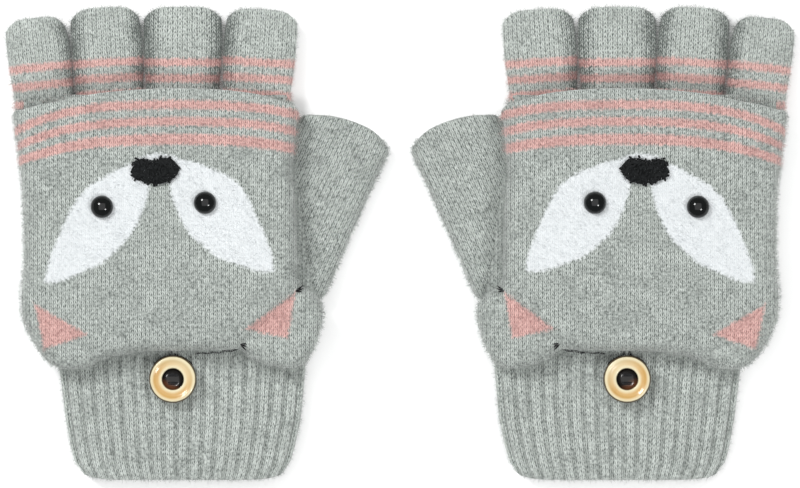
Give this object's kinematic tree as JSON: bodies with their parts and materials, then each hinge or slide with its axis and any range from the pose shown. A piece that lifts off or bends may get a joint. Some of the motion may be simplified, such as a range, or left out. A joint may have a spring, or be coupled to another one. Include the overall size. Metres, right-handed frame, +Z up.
{
  "type": "convertible flip-top mittens",
  "caption": "Pair of knitted half-finger gloves with a pouch that folds over the fingertips or buttons back on the cuff.",
  "frame": {"origin": "on the surface that the palms lie on, at the centre of the pair's outline", "axes": "+X across the pair from the left mitten to the right one, +Y from the cuffs to the fingertips, +Z up from the palm side to the back of the hand"},
  "size_m": [0.2566, 0.154, 0.0258],
  "materials": {
    "body_knit": "soft fuzzy stocking-stitch knit, light grey",
    "finger_knit": "soft fuzzy knit, light grey with three thin pink stripes",
    "rib_knit": "ribbed knit, light grey",
    "cap_knit": "soft fuzzy knit, light grey with a white face, pink stripes at the lip and pink ears",
    "nose_yarn": "black embroidery yarn",
    "eye_plastic": "glossy black dome",
    "button_resin": "cream rim, tan ring and dark brown centre",
    "dark_thread": "dark sewing thread",
    "seam_thread": "grey sewing yarn",
    "elastic": "thin dark covered elastic"
  },
  "bodies": {
    "left_glove": {"left_hand": "body_knit", "left_cuff": "rib_knit", "left_cap_seam": "seam_thread", "left_button": "button_resin", "left_button_thread": "dark_thread"},
    "left_cap": {"left_flip_cap": "cap_knit", "left_ear_thumb_side": "cap_knit", "left_ear_little_side": "cap_knit", "left_ear_seam_thumb_side": "seam_thread", "left_ear_seam_little_side": "seam_thread", "left_eye_thumb_side": "eye_plastic", "left_eye_little_side": "eye_plastic", "left_eye_knot_thumb_side": "dark_thread", "left_eye_knot_little_side": "dark_thread", "left_nose": "nose_yarn", "left_loop_tack": "dark_thread"},
    "left_loop": {"left_button_loop": "elastic"},
    "left_little": {"left_little_finger": "finger_knit"},
    "left_ring": {"left_ring_finger": "finger_knit"},
    "left_middle": {"left_middle_finger": "finger_knit"},
    "left_index": {"left_index_finger": "finger_knit"},
    "left_thumb_tube": {"left_thumb": "body_knit"},
    "right_glove": {"right_hand": "body_knit", "right_cuff": "rib_knit", "right_cap_seam": "seam_thread", "right_button": "button_resin", "right_button_thread": "dark_thread"},
    "right_cap": {"right_flip_cap": "cap_knit", "right_ear_thumb_side": "cap_knit", "right_ear_little_side": "cap_knit", "right_ear_seam_thumb_side": "seam_thread", "right_ear_seam_little_side": "seam_thread", "right_eye_thumb_side": "eye_plastic", "right_eye_little_side": "eye_plastic", "right_eye_knot_thumb_side": "dark_thread", "right_eye_knot_little_side": "dark_thread", "right_nose": "nose_yarn", "right_loop_tack": "dark_thread"},
    "right_loop": {"right_button_loop": "elastic"},
    "right_little": {"right_little_finger": "finger_knit"},
    "right_ring": {"right_ring_finger": "finger_knit"},
    "right_middle": {"right_middle_finger": "finger_knit"},
    "right_index": {"right_index_finger": "finger_knit"},
    "right_thumb_tube": {"right_thumb": "body_knit"}
  },
  "joints": [
    {"name": "left_cap_flip", "type": "hinge", "parent": "left_glove", "child": "left_cap", "pos_m": [-0.0795, 0.046, 0.0111], "axis": [1, 0, 0], "range_deg": [-180, 0], "deforming": ["left_little_finger", "left_ring_finger", "left_middle_finger", "left_index_finger", "left_button_loop"]},
    {"name": "left_little_lift", "type": "hinge", "parent": "left_glove", "child": "left_little", "pos_m": [-0.1155, 0.0517, 0.0095], "axis": [1, 0, 0], "range_deg": [0, 50]},
    {"name": "left_ring_lift", "type": "hinge", "parent": "left_glove", "child": "left_ring", "pos_m": [-0.095, 0.0517, 0.0095], "axis": [1, 0, 0], "range_deg": [0, 50]},
    {"name": "left_middle_lift", "type": "hinge", "parent": "left_glove", "child": "left_middle", "pos_m": [-0.0713, 0.0517, 0.0095], "axis": [1, 0, 0], "range_deg": [0, 50]},
    {"name": "left_index_lift", "type": "hinge", "parent": "left_glove", "child": "left_index", "pos_m": [-0.0473, 0.0517, 0.0095], "axis": [1, 0, 0], "range_deg": [0, 50]},
    {"name": "left_thumb_lift", "type": "hinge", "parent": "left_glove", "child": "left_thumb_tube", "pos_m": [-0.03, 0.0138, 0.009], "axis": [0.1357, -0.9907, 0], "range_deg": [0, 50]},
    {"name": "left_loop_lift", "type": "hinge", "parent": "left_cap", "child": "left_loop", "pos_m": [-0.0741, -0.0353, 0.0112], "axis": [-1, 0, 0], "range_deg": [0, 90], "deforming": ["left_button_loop"]},
    {"name": "right_cap_flip", "type": "hinge", "parent": "right_glove", "child": "right_cap", "pos_m": [0.0795, 0.046, 0.0111], "axis": [1, 0, 0], "range_deg": [-180, 0], "deforming": ["right_little_finger", "right_ring_finger", "right_middle_finger", "right_index_finger", "right_button_loop"]},
    {"name": "right_little_lift", "type": "hinge", "parent": "right_glove", "child": "right_little", "pos_m": [0.1155, 0.0517, 0.0095], "axis": [1, 0, 0], "range_deg": [0, 50]},
    {"name": "right_ring_lift", "type": "hinge", "parent": "right_glove", "child": "right_ring", "pos_m": [0.095, 0.0517, 0.0095], "axis": [1, 0, 0], "range_deg": [0, 50]},
    {"name": "right_middle_lift", "type": "hinge", "parent": "right_glove", "child": "right_middle", "pos_m": [0.0713, 0.0517, 0.0095], "axis": [1, 0, 0], "range_deg": [0, 50]},
    {"name": "right_index_lift", "type": "hinge", "parent": "right_glove", "child": "right_index", "pos_m": [0.0473, 0.0517, 0.0095], "axis": [1, 0, 0], "range_deg": [0, 50]},
    {"name": "right_thumb_lift", "type": "hinge", "parent": "right_glove", "child": "right_thumb_tube", "pos_m": [0.03, 0.0138, 0.009], "axis": [0.1357, 0.9907, 0], "range_deg": [0, 50]},
    {"name": "right_loop_lift", "type": "hinge", "parent": "right_cap", "child": "right_loop", "pos_m": [0.0741, -0.0353, 0.0112], "axis": [-1, 0, 0], "range_deg": [0, 90], "deforming": ["right_button_loop"]},
    {"name": "pair_apart", "type": "slide", "parent": "left_glove", "child": "right_glove", "axis": [1, 0, 0], "range_m": [0, 0.08]}
  ]
}
